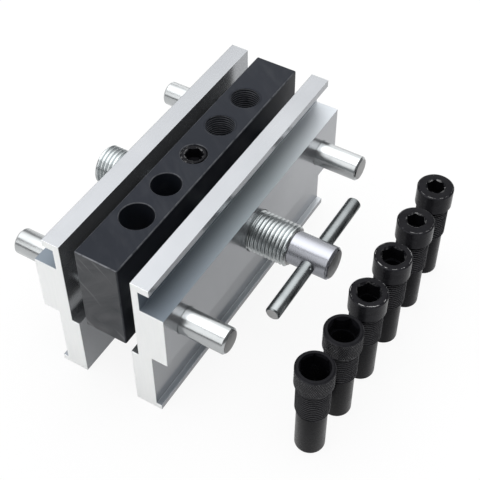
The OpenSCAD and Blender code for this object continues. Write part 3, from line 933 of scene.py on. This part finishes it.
for piece in (left_jaw, right_jaw):
    centres, normals = face_arrays(piece)
    x, y, z = centres.T
    # The groove and the foot's top take the dull skin, whose dark tone is painted shade.
    groove = (z > LEDGE_Z - LEDGE_SLACK) & (z < LIP_Z - SLACK) & (np.abs(x) > NECK_X - SLACK)
    foot_top = (np.abs(z - FOOT_Z) < SLACK) & (np.abs(x) > PLATE_X + SLACK / 2)
    sawn = np.abs(normals[:, 1]) * (np.abs(y) > SAWN_FROM)
    mark_faces(piece, (groove + FOOT_SHARE * foot_top) * (sawn < 0.5), sawn)
bars = ((rods["front_rod"], 0, ROD_CUT_FROM), (rods["rear_rod"], 0, ROD_CUT_FROM),
        (lead_screw, 0, SCREW_CUT_FROM), (tommy_bar, 1, BAR_HALF - BAR_CUT_BAND))
for piece, axis, cut_from in bars:
    centres, normals = face_arrays(piece)
    mark_faces(piece, (piece is lead_screw) & (centres[:, 0] > RIGHT_END),
               (np.abs(normals[:, axis]) > FACING) & (np.abs(centres[:, axis]) > cut_from))

# %% Rubbed rims, knurls, mouths and crests of the bushings, also painted glints and highlights
# Rims, socket mouths and knurl crests are wear and painted glints; the thread crests' mark gives a
# painted highlight.
RIM_WEAR_AND_GLINT = {"bushing_3_16": 0.2, "bushing_1_4": 0.25, "bushing_5_16": 0.6, "bushing_3_8": 0.55}
MOUTH_GLINT_AND_WEAR = {"bushing_3_16": 0.2, "bushing_1_4": 0.2, "bushing_5_16": 0.07, "bushing_3_8": 0.07}
KNURL_WEAR_AND_GLINT, HEAD_TONE, KNURL_TONE, CREST_HIGHLIGHT_TONE = 0.15, 1.0, 0.75, 0.5
RIM_BAND, RIM_INSET, HEAD_INSET, CREST_INSET, CONE_DROP = 0.3, 0.75, 1.75, 0.12, 1.8

for name, piece in bushings.items():
    centres, normals = face_arrays(piece)
    low, high = box_mm(name)
    up, below = normals[:, 2], high[2] - centres[:, 2]
    reach = np.hypot(*(centres[:, :2] - (low + high)[:2] / 2).T)
    rim = (below < RIM_BAND) & (up > 0.3) & (up < 0.99) & (reach > HEAD_R - RIM_INSET)
    thread = ((below > HEAD_H) & (below < HEAD_H + THREAD_L)
              & (reach > SEAT_D / 2 - CREST_INSET))
    # Only the head's outside gets the paler tone, so the shank and the socket keep the darker
    # black as painted shade.
    outside = (below < HEAD_H) & (below > RIM_BAND) & (reach > HEAD_R - HEAD_INSET)
    knurl = (below < HEAD_H) & (reach > HEAD_R - CREST_INSET) & (np.abs(up) > 0.02)
    cone = (below < CONE_DROP) & (reach < LEADS[BORES[name][1]]) & (np.abs(up - 0.6) < 0.36)
    head = np.where(knurl & (name in KNURLED), KNURL_TONE, HEAD_TONE)
    mark_faces(piece, RIM_WEAR_AND_GLINT.get(name, 0) * rim + KNURL_WEAR_AND_GLINT * knurl
               + MOUTH_GLINT_AND_WEAR.get(name, 0) * cone,
               np.where(outside, head, CREST_HIGHLIGHT_TONE * thread))

# %% Rubbed arcs of the retaining screw, also painted glints
ARC_GLINT_AND_WEAR, OUTER_ARC, OUTER_DROP, INNER_ARC, INNER_DROP = 0.15, 0.55, 0.5, 4, 0.4

centres, normals = face_arrays(retaining_screw)
reach, below = np.hypot(centres[:, 0], centres[:, 1]), GRUB_TOP - centres[:, 2]
outer_arc = (reach > GRUB_R - OUTER_ARC) & (below < OUTER_DROP)
inner_arc = (reach > INNER_ARC) & (reach < GRUB_LEAD) & (below < INNER_DROP)
mark_faces(retaining_screw, ARC_GLINT_AND_WEAR * (outer_arc | inner_arc), np.zeros(reach.size))

# %% [markdown]
# ## Tie the pieces to the frame
#
# On the real jig some pieces move together: the block carries both rods and the retaining
# screw, and the lead screw turns with its bar. Parent links could say that, but the frame keeps
# it already. So each new piece takes a material, stands for its CAD node and rides on the body
# of that node.


# %% Dress and ride
def dress(piece, node, body, material):
    """Material, replaced node and body of one piece."""
    piece.data.materials.clear()
    piece.data.materials.append(material)
    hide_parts(node)
    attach(piece, body)
    print(piece.name, "stands for", node, "and rides on", body)


dress(guide_block, "guide_block", "block", block_black)
dress(rods["front_rod"], "front_rod", "block", rod_zinc)
dress(rods["rear_rod"], "rear_rod", "block", rod_zinc)
dress(retaining_screw, "retaining_screw", "block", bushing_black)
dress(left_jaw, "left_jaw", "left_jaw", aluminium)
dress(right_jaw, "right_jaw", "right_jaw", aluminium)
dress(lead_screw, "lead_screw", "screw", screw_zinc)
dress(tommy_bar, "tommy_bar", "screw", bar_zinc)
for name, piece in bushings.items():
    dress(piece, name, name, bushing_black)

# %% [markdown]
# ## Floor
#
# The picture shows the jig on pure white. A glowing floor would be white too, but would lose
# the shadow. So the floor is pale paper that takes a soft shadow, and nine tenths of what the
# camera sees of it is plain white. The shiny pieces see less of the white, so that they mirror
# the shadow beneath them. Far away the white fades into the paper.

# %% Floor
FLOOR_Z, FLOOR_DROP, FLOOR_HALF = -37.3, 0.02, 8000.0
WHITE_SHARE, MIRROR_SHARE, FADE_FROM = 0.9, 0.45, 0.7
PAPER, PAPER_ROUGH = (0.6, 0.6, 0.6), 0.9

corner = np.array([-FLOOR_HALF, FLOOR_HALF])
floor = grid_piece("floor", corner[None, :], corner[:, None],
                   np.full((2, 2), FLOOR_Z - FLOOR_DROP))
paper, tree, shader = new_material("white_paper", 0.0, PAPER_ROUGH, 0.0)
shader.inputs["Base Color"].default_value = (*PAPER, 1)
ray = tree.nodes.new("ShaderNodeLightPath")
mirrored = sums(tree, "MULTIPLY", ray.outputs["Is Glossy Ray"], MIRROR_SHARE / WHITE_SHARE)
seen = sums(tree, "MAXIMUM", ray.outputs["Is Camera Ray"], mirrored)
far = tree.nodes.new("ShaderNodeVectorMath")
far.operation = "LENGTH"
tree.links.new(place(tree, [1 / (FLOOR_HALF * MM)] * 3), far.inputs[0])
near = ramp(tree, far.outputs["Value"], (FADE_FROM, WHITE_SHARE), (1.0, 0.0))
glow = tree.nodes.new("ShaderNodeEmission")
mix = tree.nodes.new("ShaderNodeMixShader")
tree.links.new(sums(tree, "MULTIPLY", seen, near), mix.inputs[0])
tree.links.new(shader.outputs[0], mix.inputs[1])
tree.links.new(glow.outputs[0], mix.inputs[2])
tree.links.new(mix.outputs[0], tree.nodes["Material Output"].inputs["Surface"])
floor.data.materials.append(paper)
print("floor is", 2 * FLOOR_HALF * MM, "m wide")

# %% [markdown]
# ## Light
#
# The even shine of the jig speaks for large soft boxes. A picture of a studio could surround
# it, but three square lamps do it with a few numbers. The very large one overhead is what the
# tops mirror. It shines most straight down, so its far part is dimmer, and the tops are
# brighter towards the camera. One at the front left lights the ends of the jaws, and one at
# the back is the lit backdrop that the round bars mirror.

# %% World and lamps
STUDIO_GREY = (0.2, 0.2, 0.205)

world = bpy.data.worlds.new("studio")
bpy.context.scene.world = world
world.use_nodes = True
world.node_tree.nodes["Background"].inputs["Color"].default_value = (*STUDIO_GREY, 1)


def soft_lamp(name, stand, aim, size, radiance, spread=180):
    """A square lamp that stands at a point and is turned to another, all in metres; its power is
    radiance x pi x area. A spread below 180 degrees makes it dimmer when seen from aside."""
    lamp = bpy.data.objects.new(name, bpy.data.lights.new(name, "AREA"))
    bpy.context.scene.collection.objects.link(lamp)
    lamp.data.size = size
    lamp.data.spread = np.radians(spread)
    lamp.data.energy = radiance * np.pi * size ** 2
    lamp.location = stand
    lamp.rotation_euler = (Vector(aim) - Vector(stand)).to_track_quat("-Z", "Y").to_euler()
    print(name, round(lamp.data.energy, 1), "W")


soft_lamp("overhead", (-0.5, 1.0, 1.4), (-0.5, 1.0, 0), size=3.6, radiance=1.85, spread=130)
soft_lamp("front_left", (-1.0, -2.2, 1.6), (0, 0, 0), size=2.3, radiance=1.8)
soft_lamp("backdrop", (-1.3, 3.2, 1.0), (0, 0, 0.2), size=1.9, radiance=1.5)
bpy.context.scene.view_settings.view_transform = "Standard"
